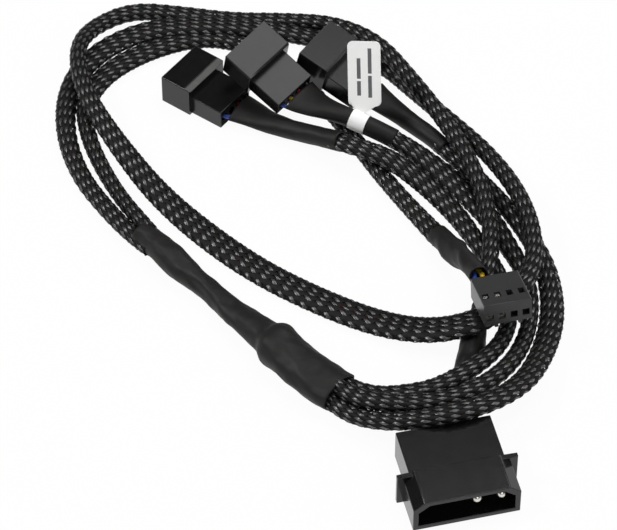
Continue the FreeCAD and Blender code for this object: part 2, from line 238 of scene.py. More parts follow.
# A finish with a fine grain. Its two tones follow the scuffs, or else the patches in the grain.
def grainedFinish(name, look):
    material, tree, sockets = newMaterial(name, **look["shader"])
    grain = placeGroup(tree, fineGrain, **look["grain"])
    mask = placeGroup(tree, scuffs, **look["scuffs"])["Mask"] if "scuffs" in look else grain["Patch"]
    setInput(tree, sockets["Base Color"], mixedColour(tree, mask, *look["tones"]))
    setInput(tree, sockets["Roughness"], remapped(tree, grain["Patch"], *look["rough"]))
    setInput(tree, sockets["Normal"], bumped(tree, grain["Height"], *look["bump"]))
    return material, tree, sockets


# Moulded plastics, and the housings' plastic at edges, lighter as a painted highlight; on one fan plug's step,
# light grey as a painted reflection; at the fan plugs' rear, darker as painted shade
plasticLook = {"shader": {"IOR": 1.45}, "grain": {"Scale": 5200.0, "Detail": 3.0}, "bump": (0.35, 0.012 * mm)}
scuffScale = 260.0
plasticSettings = {
    "plugPlastic": {
        "tones": ((0.0045, 0.0045, 0.0047), (0.013, 0.013, 0.0135)), "rough": (0.19, 0.28), "scuffed": 0.35},
    "socketPlastic": {
        "tones": ((0.032, 0.032, 0.033), (0.048, 0.048, 0.049)), "rough": (0.26, 0.36), "scuffed": 0.5},
    "powerPlastic": {
        "tones": ((0.0075, 0.0073, 0.0072), (0.016, 0.0156, 0.0152)), "rough": (0.14, 0.2), "scuffed": 0.35},
    # lighter plastic on broken edges and step chamfers: a painted highlight, patchy along the scuffs
    "plugEdge": {
        "tones": ((0.016, 0.016, 0.0165), (0.06, 0.06, 0.06)), "rough": (0.26, 0.4), "scuffed": 0.9},
    # light grey plastic on the slope of one plug's step: a painted reflection
    "plugScuffed": {
        "tones": ((0.09, 0.088, 0.086), (0.26, 0.255, 0.25)), "rough": (0.4, 0.55), "scuffed": 1.0},
    # darker, duller plastic on the fan plugs' rear faces: painted shade
    "plugRear": {
        "tones": ((0.003, 0.003, 0.003), (0.006, 0.006, 0.006)), "rough": (0.6, 0.75), "scuffed": 0.3,
        "shader": {"IOR": 1.12}},
}
plastics = {}
for name, own in plasticSettings.items():
    look = {**plasticLook, **own, "scuffs": {"Scale": scuffScale, "Amount": own["scuffed"]}}
    plastics[name] = grainedFinish(name, look)[0]


# Heat-shrink skin: satin, with a fine pull along the tube
shrinkLook = {
    "shader": {"IOR": 1.37},
    "tones": ((0.0068, 0.0058, 0.0055), (0.0145, 0.0124, 0.0116)),
    "rough": (0.48, 0.62),
    "grain": {"Scale": 2600.0, "Detail": 4.0},
    "scuffs": {"Scale": 180.0, "Amount": 0.5},
    "bump": (0.3, 0.02 * mm),
    "pull": (26.0, 0.5, 1.0),
    "pullDetail": 3.0,
    "pullBump": {"Strength": 0.35, "Distance": 0.06 * mm},
}


def shrinkFinish(look):
    material, tree, sockets = grainedFinish("heatShrinkSkin", look)
    chart = addNode(tree, "ShaderNodeUVMap", uv_map="tubeChart").outputs["UV"]
    pulled = addNode(tree, "ShaderNodeMapping", {"Vector": chart, "Scale": look["pull"]}).outputs["Vector"]
    lines = addNode(tree, "ShaderNodeTexNoise", {"Vector": pulled, "Scale": 1.0, "Detail": look["pullDetail"]})
    grained = sockets["Normal"].links[0].from_socket
    draw = addNode(tree, "ShaderNodeBump",
                   {"Height": lines.outputs["Fac"], "Normal": grained, **look["pullBump"]})
    setInput(tree, sockets["Normal"], draw.outputs["Normal"])
    return material


shrinkSkin = shrinkFinish(shrinkLook)


# Braid filament: flat bundles of monofilament. The two windings lie at different angles to the draw of the
# sleeve.
# One winding has a lighter base colour as a painted highlight, and the other a darker one as painted shade.
filamentSettings = {
    "strandsPerRibbon": 3.0,
    "strandBump": (0.2, 0.02 * mm),
    "shade": {"Scale": 1.7, "Detail": 2.0},
    # darker base colour: painted shade on this winding
    "shadedWinding": {"tones": ((0.0034, 0.0033, 0.0032), (0.0054, 0.0053, 0.0051)), "rough": (0.55, 0.65),
             "shader": {"IOR": 1.3}},
    # lighter base colour: painted highlight on this winding
    "highlightWinding": {"tones": ((0.016, 0.016, 0.016), (0.030, 0.030, 0.029)), "rough": (0.36, 0.44),
               "shader": {"IOR": 1.96, "Anisotropic": 0.55}},
}


def filamentFinish(name, look, settings):
    material, tree, sockets = newMaterial(name, **look["shader"])
    chart = addNode(tree, "ShaderNodeUVMap", uv_map="ribbonChart").outputs["UV"]
    parts = addNode(tree, "ShaderNodeSeparateXYZ", {"Vector": chart}).outputs
    wave = calc(tree, "MULTIPLY", parts["X"], settings["strandsPerRibbon"] * math.pi)
    strand = calc(tree, "ABSOLUTE", calc(tree, "SINE", wave))
    shade = addNode(tree, "ShaderNodeTexNoise", {"Vector": chart, **settings["shade"]}).outputs["Fac"]
    setInput(tree, sockets["Base Color"], mixedColour(tree, shade, *look["tones"]))
    setInput(tree, sockets["Roughness"], remapped(tree, shade, *look["rough"]))
    setInput(tree, sockets["Normal"], bumped(tree, strand, *settings["strandBump"]))
    lean = addNode(tree, "ShaderNodeTangent", direction_type="UV_MAP", uv_map="ribbonChart")
    setInput(tree, sockets["Tangent"], lean.outputs["Tangent"])
    return material


shadedFilament = filamentFinish("shadedFilament", filamentSettings["shadedWinding"], filamentSettings)
highlightFilament = filamentFinish("highlightFilament", filamentSettings["highlightWinding"], filamentSettings)


# Wire insulation, with its tones in the shade and in the light, and plated contacts
insulationLook = {
    "shader": {"IOR": 1.5},
    "rough": (0.3, 0.46),
    "grain": {"Scale": 1500.0, "Detail": 2.0},
    "bump": (0.2, 0.015 * mm),
}
insulationTones = {
    "ground": ("blackInsulation", (0.010, 0.010, 0.010), (0.018, 0.018, 0.018)),
    "supply": ("redInsulation", (0.30, 0.012, 0.012), (0.46, 0.02, 0.018)),
    "speed": ("yellowInsulation", (0.52, 0.34, 0.02), (0.72, 0.50, 0.03)),
    "control": ("blueInsulation", (0.014, 0.036, 0.22), (0.022, 0.06, 0.34)),
}
contactLook = {
    "shader": {"Metallic": 1.0},
    "tones": ((0.74, 0.72, 0.67), (0.55, 0.50, 0.40)),
    "rough": (0.16, 0.4),
    "grain": {"Scale": 3000.0, "Detail": 3.0},
    "scuffs": {"Scale": 700.0, "Amount": 0.8},
    "bump": (0.2, 0.01 * mm),
}
insulation = {}
for role, (name, shaded, lit) in insulationTones.items():
    insulation[role] = grainedFinish(name, {**insulationLook, "tones": (shaded, lit)})[0]
platedContact = grainedFinish("platedContact", contactLook)[0]
print("finishes made")


# Lead routes, from the junction to each plug, in mm. Widths are given at some of the points.
leads = {
    "power": {
        "open": [
            (-33.7, 15.6, 2.6),
            (-36.2, 19.7, 2.4), (-40.3, 29.5, 1.9), (-43.9, 40.3, 1.8), (-44.9, 52.2, 1.8),
            (-43.0, 63.4, 1.8), (-38.3, 72.6, 1.8), (-30.8, 78.9, 1.8), (-21.2, 81.7, 2.2),
            (-10.9, 79.9, 3.3), (-0.2, 76.8, 3.0), (10.4, 73.1, 2.2), (20.6, 67.4, 1.8),
            (28.5, 58.7, 1.8), (33.6, 47.6, 1.8), (38.9, 36.7, 2.2), (43.3, 23.6, 4.6),
            (46.1, 10.1, 5.9), (46.0, -2.3, 6.0), (42.5, -12.9, 6.2), (35.5, -20.3, 6.6),
            (26.8, -24.0, 7.0), (17.9, -22.1, 4.6), (8.6, -15.4, 2.0), (-2.1, -6.1, 1.8),
            (-12.6, 5.1, 1.8), (-21.5, 18.3, 1.8), (-28.8, 31.5, 2.4), (-34.3, 44.5, 5.0),
            (-37.9, 57.0, 6.0), (-39.0, 67.3, 6.2), (-37.4, 77.3, 5.4), (-31.7, 85.6, 2.2),
            (-22.5, 89.0, 1.8), (-12.1, 85.1, 1.8), (-1.5, 80.4, 1.8), (10.3, 77.4, 1.9),
            (20.8, 72.5, 3.2), (28.0, 62.1, 5.8), (32.0, 49.1, 6.2), (35.8, 35.9, 6.0),
            (38.4, 22.8, 5.8), (38.7, 9.9, 5.8), (36.9, -0.7, 6.0), (34.3, -8.9, 6.1),
            (31.3, -15.3, 5.2),
        ],
        "covered": [(28.3, -21.7, 2.8), (25.1, -28.1, 2.4), (21.7, -34.5, 2.5), (19.3, -39.0, 2.8)],
        "widths": {0: 3.4, 4: 4.1, 5: 4.5, 7: 5.6, 9: 5.7, 12: 4.2, 14: 3.6, 19: 3.6, 20: 4.6, 21: 6.2,
                   22: 6.9, 24: 6.9, 26: 6.6, 27: 5.8, 28: 4.8, 29: 4.0, 31: 3.3, 33: 4.2, 34: 4.4,
                   37: 3.7, 42: 3.4, 45: 3.5, 46: 4.4, 47: 5.0, 49: 4.8},
        "diameter": 3.9,
        "wires": ("ground", "supply"),
        "wireDiameter": 1.4,
    },
    "control": {
        "open": [
            (-31.9, 16.6, 4.1),
            (-33.6, 21.1, 4.1), (-36.7, 31.4, 2.3), (-39.0, 42.3, 1.8), (-40.1, 52.7, 1.8),
            (-38.9, 62.0, 1.8), (-34.0, 69.2, 1.8), (-26.9, 73.8, 1.8), (-17.8, 76.5, 1.8),
            (-8.4, 76.9, 1.8), (-0.3, 72.6, 1.8), (6.2, 62.7, 1.8), (12.0, 51.8, 1.8),
            (15.9, 40.4, 1.8), (18.8, 28.7, 1.8), (22.1, 18.3, 1.8), (25.5, 9.1, 2.0),
        ],
        "covered": [(27.7, 1.5, 3.4), (29.1, -5.5, 6.4), (29.8, -11.6, 9.3), (30.0, -14.8, 10.3)],
        "widths": {0: 2.9, 2: 3.2, 4: 3.4, 5: 4.2, 6: 5.1, 7: 5.5, 9: 5.0, 11: 3.7, 15: 3.7, 17: 4.9, 18: 4.6,
                   19: 4.0, 20: 4.2},
        "diameter": 3.5,
        "wires": ("control", "speed"),
        "wireDiameter": 0.95,
    },
    "left": {
        "open": [
            (-5.2, -28.6, 3.0),
            (-1.9, -31.9, 3.0), (2.6, -36.0, 3.9), (8.4, -38.5, 5.8), (14.7, -39.3, 6.9),
            (22.9, -36.0, 6.8), (30.5, -29.8, 4.4), (35.1, -22.2, 2.2), (36.8, -14.9, 1.8),
            (36.6, -7.2, 1.8), (34.6, 2.0, 1.8), (32.2, 11.9, 1.9), (27.3, 20.9, 3.6),
            (21.3, 27.1, 6.0), (15.4, 31.5, 6.2),
        ],
        "covered": [(9.9, 37.1, 4.4), (3.9, 42.7, 2.5), (-1.2, 47.1, 2.3), (-3.9, 50.1, 2.4),
                    (-5.95, 52.2, 2.45)],
        "widths": {0: 3.4, 2: 3.9, 3: 4.2, 5: 3.9, 6: 3.4, 8: 3.3, 10: 3.8, 11: 4.8, 12: 5.2, 14: 4.4,
                   16: 4.3, 17: 4.8, 18: 5.2, 19: 5.8},
        "diameter": 3.6,
        "wires": ("ground", "supply", "control"),
        "wireDiameter": 0.95,
    },
    "middle": {
        "open": [
            (-6.9, -29.9, 4.6),
            (-4.2, -33.6, 5.2), (-0.5, -38.3, 6.2), (5.9, -42.0, 7.3), (14.8, -43.5, 7.4),
            (23.6, -41.2, 7.0), (31.0, -35.8, 5.2), (36.5, -28.4, 3.0), (40.1, -20.8, 1.9),
            (41.8, -13.7, 1.8), (41.9, -7.1, 1.8), (40.7, -0.3, 1.8), (39.6, 6.3, 1.8),
            (37.8, 12.8, 1.8), (35.3, 18.8, 1.8), (32.0, 24.8, 2.0), (27.3, 30.5, 3.8),
        ],
        "covered": [(21.3, 35.1, 6.0), (15.1, 40.1, 7.0), (11.6, 43.3, 7.0), (8.7, 45.9, 6.9),
                    (6.7, 48.3, 7.3)],
        "widths": {0: 3.5, 2: 4.0, 4: 4.0, 6: 3.5, 8: 3.3, 10: 3.6, 12: 4.8, 13: 5.6, 15: 5.4, 16: 4.4,
                   18: 4.15, 19: 4.6, 20: 5.6, 21: 6.6},
        "diameter": 3.5,
        "wires": ("ground", "supply", "speed", "control"),
        "wireDiameter": 0.95,
    },
    "right": {
        "open": [
            (-8.6, -31.2, 3.0),
            (-6.3, -35.0, 3.0), (-2.4, -40.6, 3.6), (4.5, -46.0, 6.6), (13.4, -48.9, 9.6),
            (23.5, -47.4, 9.2), (32.6, -41.5, 6.2), (39.2, -32.6, 3.2), (43.8, -23.9, 1.9),
            (46.2, -15.6, 1.8), (46.9, -6.9, 1.8), (45.8, 1.8, 1.8), (43.1, 11.5, 1.8),
            (39.9, 19.7, 1.8), (36.8, 26.5, 1.95),
        ],
        "covered": [(33.2, 33.5, 2.35), (29.0, 40.0, 2.8), (24.6, 45.6, 3.9), (23.0, 48.1, 4.4)],
        "widths": {0: 3.4, 2: 3.8, 4: 4.2, 6: 4.8, 8: 5.2, 10: 4.5, 12: 3.6, 14: 3.7, 16: 4.3, 17: 4.8,
                   18: 5.2},
        "diameter": 3.5,
        "wires": ("ground", "supply", "control"),
        "wireDiameter": 0.95,
    },
}


def spreadWidths(marks, count):
    places = sorted(marks)
    widths = []
    for index in range(count):
        before = max((place for place in places if place <= index), default=places[0])
        after = min((place for place in places if place >= index), default=places[-1])
        share = 0.0 if after == before else (index - before) / (after - before)
        widths.append(marks[before] + (marks[after] - marks[before]) * share)
    return widths


def makeRoute(name, points, widths):
    curve = bpy.data.curves.new(name, "CURVE")
    curve.dimensions = "3D"
    curve.resolution_u = 16
    spline = curve.splines.new("NURBS")
    spline.points.add(len(points) - 1)
    for spot, point, width in zip(spline.points, points, widths):
        spot.co = (*(Vector(point) * mm), 1.0)
        spot.radius = width / 2 * mm
    spline.order_u = 3
    spline.use_endpoint_u = True
    route = bpy.data.objects.new(name, curve)
    scene.collection.objects.link(route)
    return route


def routePoints(route):
    depsgraph = bpy.context.evaluated_depsgraph_get()
    mesh = bpy.data.meshes.new_from_object(route.evaluated_get(depsgraph))
    points = [vertex.co.copy() for vertex in mesh.vertices]
    bpy.data.meshes.remove(mesh)
    return points


def lengthsAlong(points):
    lengths = [0.0]
    for before, after in zip(points, points[1:]):
        lengths.append(lengths[-1] + (after - before).length)
    return lengths


def nearestLength(points, lengths, spot):
    index = min(range(len(points)), key=lambda i: (points[i] - spot).length)
    return lengths[index]


# Geometry trees that follow a route
routeSockets = [("Route", "Object", None), ("Start", "Float", 0.0), ("End", "Float", 0.1)]
geometryOut = [("Geometry", "Geometry")]
flattening = 0.6            # how fast a sleeve gets lower where it is wider


def routeSpan(tree, given):
    route = addNode(tree, "GeometryNodeObjectInfo", {"Object": given["Route"]}).outputs["Geometry"]
    return route, calc(tree, "SUBTRACT", given["End"], given["Start"])


def indexedGrid(tree, rows, columns):
    grid = addNode(tree, "GeometryNodeMeshGrid",
                   {"Size X": 1.0, "Size Y": 1.0, "Vertices X": rows, "Vertices Y": columns}).outputs["Mesh"]
    index = addNode(tree, "GeometryNodeInputIndex").outputs[0]
    row = calc(tree, "FLOOR", calc(tree, "DIVIDE", calc(tree, "ADD", index, 0.5), columns))
    return grid, row, calc(tree, "SUBTRACT", index, calc(tree, "MULTIPLY", row, columns))


def lengthAt(tree, given, share, span):
    return calc(tree, "ADD", given["Start"], calc(tree, "MULTIPLY", share, span))


def pathFrame(tree, route, along):
    sample = addNode(tree, "GeometryNodeSampleCurve",
                     {"Curves": route, "Value": addNode(tree, "GeometryNodeInputRadius").outputs[0],
                      "Length": along}, mode="LENGTH", use_all_curves=True)
    tangent = sample.outputs["Tangent"]
    side = calcVector(tree, "NORMALIZE", calcVector(tree, "CROSS_PRODUCT", tangent, upward))
    rise = calcVector(tree, "CROSS_PRODUCT", side, tangent)
    return sample.outputs["Position"], side, rise, sample.outputs["Value"]


def setAround(tree, geometry, frameParts, outward, height):
    spot, side, rise = frameParts
    target = summed(tree, spot, scaled(tree, side, outward), scaled(tree, rise, height))
    return addNode(tree, "GeometryNodeSetPosition", {"Geometry": geometry, "Position": target}).outputs[0]


def sectionHeight(tree, wide, radius):
    squeezed = calc(tree, "POWER", calc(tree, "DIVIDE", radius, wide), flattening)
    return calc(tree, "MINIMUM", calc(tree, "MULTIPLY", radius, squeezed), radius)


def capture(tree, geometry, value, kind="FLOAT"):
    node = addNode(tree, "GeometryNodeCaptureAttribute", {"Geometry": geometry}, domain="POINT")
    node.capture_items.new(kind, "kept")
    setInput(tree, node.inputs["kept"], value)
    return node.outputs["Geometry"], node.outputs["kept"]


def storeChart(tree, geometry, name, across, along):
    chart = addNode(tree, "ShaderNodeCombineXYZ", {"X": across, "Y": along}).outputs[0]
    node = addNode(tree, "GeometryNodeStoreNamedAttribute", data_type="FLOAT2", domain="CORNER")
    setInput(tree, node.inputs["Geometry"], geometry)
    setInput(tree, node.inputs["Name"], name)
    setInput(tree, node.inputs["Value"], chart)
    return node.outputs["Geometry"]


def finishTree(tree, geometry, material):
    smooth = addNode(tree, "GeometryNodeSetShadeSmooth", {"Geometry": geometry}).outputs[0]
    real = addNode(tree, "GeometryNodeRealizeInstances", {"Geometry": smooth}).outputs[0]
    return addNode(tree, "GeometryNodeSetMaterial", {"Geometry": real, "Material": material}).outputs[0]


# Braided sleeve: ribbons wound both ways, each over one and under one
braidSettings = {
    "Carriers": 10,             # ribbons wound each way
    "Lay": 28.0 * mm,           # length of one full turn
    "Step": 0.34 * mm,          # between sections of a ribbon
    "Cover": 0.96,              # share of the sleeve that the winding with painted shade covers
    "Opposed Cover": 0.6,       # and the winding with the painted highlight
    "Lift": 0.15 * mm,          # over and under
    "Crown": 0.14 * mm,         # of a ribbon's middle above its edges
    "Round Radius": 1.75 * mm,
}
ribbonSettings = {
    "columns": 5.0,             # points across a ribbon
    "steepness": 1.7,           # of the wave between over and under
    "chartPerMetre": 400.0,
    "chartStep": 7.3,           # from ribbon to ribbon, so that their shades differ
}


def braidTree(settings):
    tree, given, made = newTree(
        "braidedSleeve", "GeometryNodeTree",
        [*routeSockets, ("Carriers", "Int", 16), ("Lay", "Float", 0.03), ("Step", "Float", 0.0005),
         ("Cover", "Float", 0.9), ("Opposed Cover", "Float", 0.5), ("Lift", "Float", 0.0001),
         ("Crown", "Float", 0.0001), ("Round Radius", "Float", 0.00175), ("Turn", "Float", 0.0),
         ("Material", "Material", None), ("Opposed Material", "Material", None)], geometryOut)
    route, span = routeSpan(tree, given)
    rows = calc(tree, "CEIL", calc(tree, "DIVIDE", span, given["Step"]))
    columns = calc(tree, "MULTIPLY", given["Carriers"], 2.0 * settings["columns"])      # both ways
    grid, row, column = indexedGrid(tree, rows, columns)

    # Which ribbon a point belongs to: columns 0 to 2 are its crown, 3 and 4 its underside
    ribbon = calc(tree, "FLOOR", calc(tree, "DIVIDE", calc(tree, "ADD", column, 0.5), settings["columns"]))
    place = calc(tree, "SUBTRACT", column, calc(tree, "MULTIPLY", ribbon, settings["columns"]))
    under = calc(tree, "GREATER_THAN", place, 2.5)
    flipped = calc(tree, "MULTIPLY", calc(tree, "SUBTRACT", place, 3.5), -2.0)
    across = chosen(tree, under, calc(tree, "SUBTRACT", place, 1.0), flipped)
    strip = calc(tree, "ADD", calc(tree, "MULTIPLY", ribbon, 2.0), under)
    opposite = calc(tree, "GREATER_THAN", ribbon, calc(tree, "SUBTRACT", given["Carriers"], 0.5))
    way = calc(tree, "SUBTRACT", 1.0, calc(tree, "MULTIPLY", opposite, 2.0))
    number = calc(tree, "SUBTRACT", ribbon, calc(tree, "MULTIPLY", opposite, given["Carriers"]))

    share = calc(tree, "DIVIDE", row, calc(tree, "SUBTRACT", rows, 1.0))
    along = lengthAt(tree, given, share, span)
    grid, stripKept = capture(tree, grid, strip)
    grid, alongKept = capture(tree, grid, along)
    grid, acrossKept = capture(tree, grid, across)

    # Winding angle, and the over-under wave
    turns = calc(tree, "DIVIDE", along, given["Lay"])
    first = calc(tree, "DIVIDE", number, given["Carriers"])
    angle = calc(tree, "ADD", first, calc(tree, "MULTIPLY", way, turns))
    angle = calc(tree, "ADD", calc(tree, "MULTIPLY", angle, 2 * math.pi), given["Turn"])
    *frameParts, wide = pathFrame(tree, route, along)
    high = sectionHeight(tree, wide, given["Round Radius"])
    both = calc(tree, "ADD", wide, high)
    opened = calc(tree, "DIVIDE", calc(tree, "MULTIPLY", given["Round Radius"], 2.0), both)    # less where flat
    cover = chosen(tree, opposite, given["Cover"], calc(tree, "MULTIPLY", given["Opposed Cover"], opened))
    half = calc(tree, "MULTIPLY", calc(tree, "DIVIDE", cover, given["Carriers"]), math.pi)
    aside = calc(tree, "MULTIPLY", across, half)
    crossing = calc(tree, "MULTIPLY", calc(tree, "MULTIPLY", turns, given["Carriers"]), 2.0)
    shifted = calc(tree, "MULTIPLY", calc(tree, "MULTIPLY", aside, given["Carriers"]), 0.5 / math.pi)
    beat = calc(tree, "ADD", crossing, calc(tree, "MULTIPLY", way, shifted))
    wave = calc(tree, "MULTIPLY", way, calc(tree, "COSINE", calc(tree, "MULTIPLY", beat, math.pi)))
    steep = calc(tree, "MULTIPLY", wave, settings["steepness"])
    wave = addNode(tree, "ShaderNodeClamp", {"Value": steep, "Min": -1.0, "Max": 1.0}).outputs[0]
    edge = calc(tree, "ABSOLUTE", across)
    lift = calc(tree, "SUBTRACT", calc(tree, "MULTIPLY", wave, given["Lift"]),
                calc(tree, "MULTIPLY", calc(tree, "MAXIMUM", edge, under), given["Crown"]))

    # Oval section, wide where the sleeve lies flat
    angle = calc(tree, "ADD", angle, aside)
    oval = calc(tree, "DIVIDE", calc(tree, "SUBTRACT", wide, high), both)
    even = calc(tree, "MULTIPLY", calc(tree, "SINE", calc(tree, "MULTIPLY", angle, 2.0)), 0.5)
    angle = calc(tree, "ADD", angle, calc(tree, "MULTIPLY", even, oval))
    outward = calc(tree, "MULTIPLY", calc(tree, "COSINE", angle), calc(tree, "ADD", wide, lift))
    height = calc(tree, "MULTIPLY", calc(tree, "SINE", angle), calc(tree, "ADD", high, lift))
    height = calc(tree, "SUBTRACT", height, calc(tree, "SUBTRACT", given["Round Radius"], high))
    woven = setAround(tree, grid, frameParts, outward, height)

    split = calc(tree, "GREATER_THAN", calc(tree, "FRACT", stripKept), 0.1)
    woven = addNode(tree, "GeometryNodeDeleteGeometry", {"Geometry": woven, "Selection": split},
                    domain="FACE").outputs[0]
    opposed = calc(tree, "GREATER_THAN", calc(tree, "MULTIPLY", stripKept, settings["columns"]),
                   calc(tree, "SUBTRACT", columns, 2.0))
    chartX = calc(tree, "MULTIPLY", calc(tree, "ADD", acrossKept, 1.0), 0.5)
    chartY = calc(tree, "ADD", calc(tree, "MULTIPLY", alongKept, settings["chartPerMetre"]),
                  calc(tree, "MULTIPLY", stripKept, settings["chartStep"]))
    woven = finishTree(tree, storeChart(tree, woven, "ribbonChart", chartX, chartY), given["Material"])
    woven = addNode(tree, "GeometryNodeSetMaterial", {
        "Geometry": woven, "Selection": opposed, "Material": given["Opposed Material"]}).outputs[0]
    setInput(tree, made["Geometry"], woven)
    return tree


# Wires inside a sleeve, wandering beside each other
wireSettings = {
    "Step": 1.5 * mm,
    "Twist": 60.0,              # radians to the metre
    "Clearance": 0.3 * mm,
    "Round Radius": braidSettings["Round Radius"],
}
wanderSettings = {"perMetre": 45.0, "detail": 1.0, "turn": 3.0, "sides": 8}


def wireTree(settings):
    tree, given, made = newTree(
        "sleevedWires", "GeometryNodeTree",
        [*routeSockets, ("Step", "Float", 0.0015), ("Wires", "Int", 2), ("Radius", "Float", 0.0005),
         ("Number", "Int", 0), ("Twist", "Float", 60.0), ("Clearance", "Float", 0.0003),
         ("Round Radius", "Float", 0.00175), ("Material", "Material", None)], geometryOut)
    route, span = routeSpan(tree, given)
    count = calc(tree, "CEIL", calc(tree, "DIVIDE", span, given["Step"]))
    line = addNode(tree, "GeometryNodeMeshLine", {"Count": count}).outputs["Mesh"]
    line = addNode(tree, "GeometryNodeMeshToCurve", {"Mesh": line}).outputs["Curve"]
    index = addNode(tree, "GeometryNodeInputIndex").outputs[0]
    share = calc(tree, "DIVIDE", index, calc(tree, "SUBTRACT", count, 1.0))
    along = lengthAt(tree, given, share, span)
    *frameParts, wide = pathFrame(tree, route, along)
    first = calc(tree, "MULTIPLY", calc(tree, "DIVIDE", given["Number"], given["Wires"]), 2 * math.pi)
    wander = addNode(tree, "ShaderNodeTexNoise", {
        "W": calc(tree, "MULTIPLY", along, settings["perMetre"]), "Detail": settings["detail"]},
        noise_dimensions="1D").outputs["Fac"]
    angle = calc(tree, "ADD", calc(tree, "MULTIPLY", along, given["Twist"]),
                 calc(tree, "MULTIPLY", wander, settings["turn"]))
    angle = calc(tree, "ADD", angle, first)
    high = sectionHeight(tree, wide, given["Round Radius"])
    taken = calc(tree, "ADD", given["Radius"], given["Clearance"])
    gathered = calc(tree, "MULTIPLY", calc(tree, "SUBTRACT", wide, taken), calc(tree, "DIVIDE", high, wide))
    outward = calc(tree, "MULTIPLY", calc(tree, "COSINE", angle), gathered)
    depth = calc(tree, "MAXIMUM", calc(tree, "SUBTRACT", high, taken), 0.0)
    height = calc(tree, "MULTIPLY", calc(tree, "SINE", angle), depth)
    height = calc(tree, "SUBTRACT", height, calc(tree, "SUBTRACT", given["Round Radius"], high))
    line = setAround(tree, line, frameParts, outward, height)
    circle = addNode(tree, "GeometryNodeCurvePrimitiveCircle",
                     {"Resolution": settings["sides"], "Radius": given["Radius"]}).outputs["Curve"]
    tube = addNode(tree, "GeometryNodeCurveToMesh",
                   {"Curve": line, "Profile Curve": circle, "Fill Caps": True}).outputs["Mesh"]
    setInput(tree, made["Geometry"], finishTree(tree, tube, given["Material"]))
    return tree


# Heat-shrink: a wrinkled tube with a wall, open at both ends
shrinkSettings = {
    "Step": 0.4 * mm,
    "Around": 40,
    "Wall": 0.35 * mm,
    "Lip": 1.5 * mm,            # how far the inner wall is modelled
}
wrinkleSettings = {
    "stretch": 0.6,             # of the wrinkles along the tube
    "noise": {"Detail": 2.0, "Roughness": 0.45},
    "foldSharpness": 6.0,
    "foldStarts": (0.08, 0.35),     # shares of the tube's length
    "foldEnds": (0.65, 0.95),
    "flattens": (0.45, 1.0),
    "chartPerMetre": 1000.0,
}


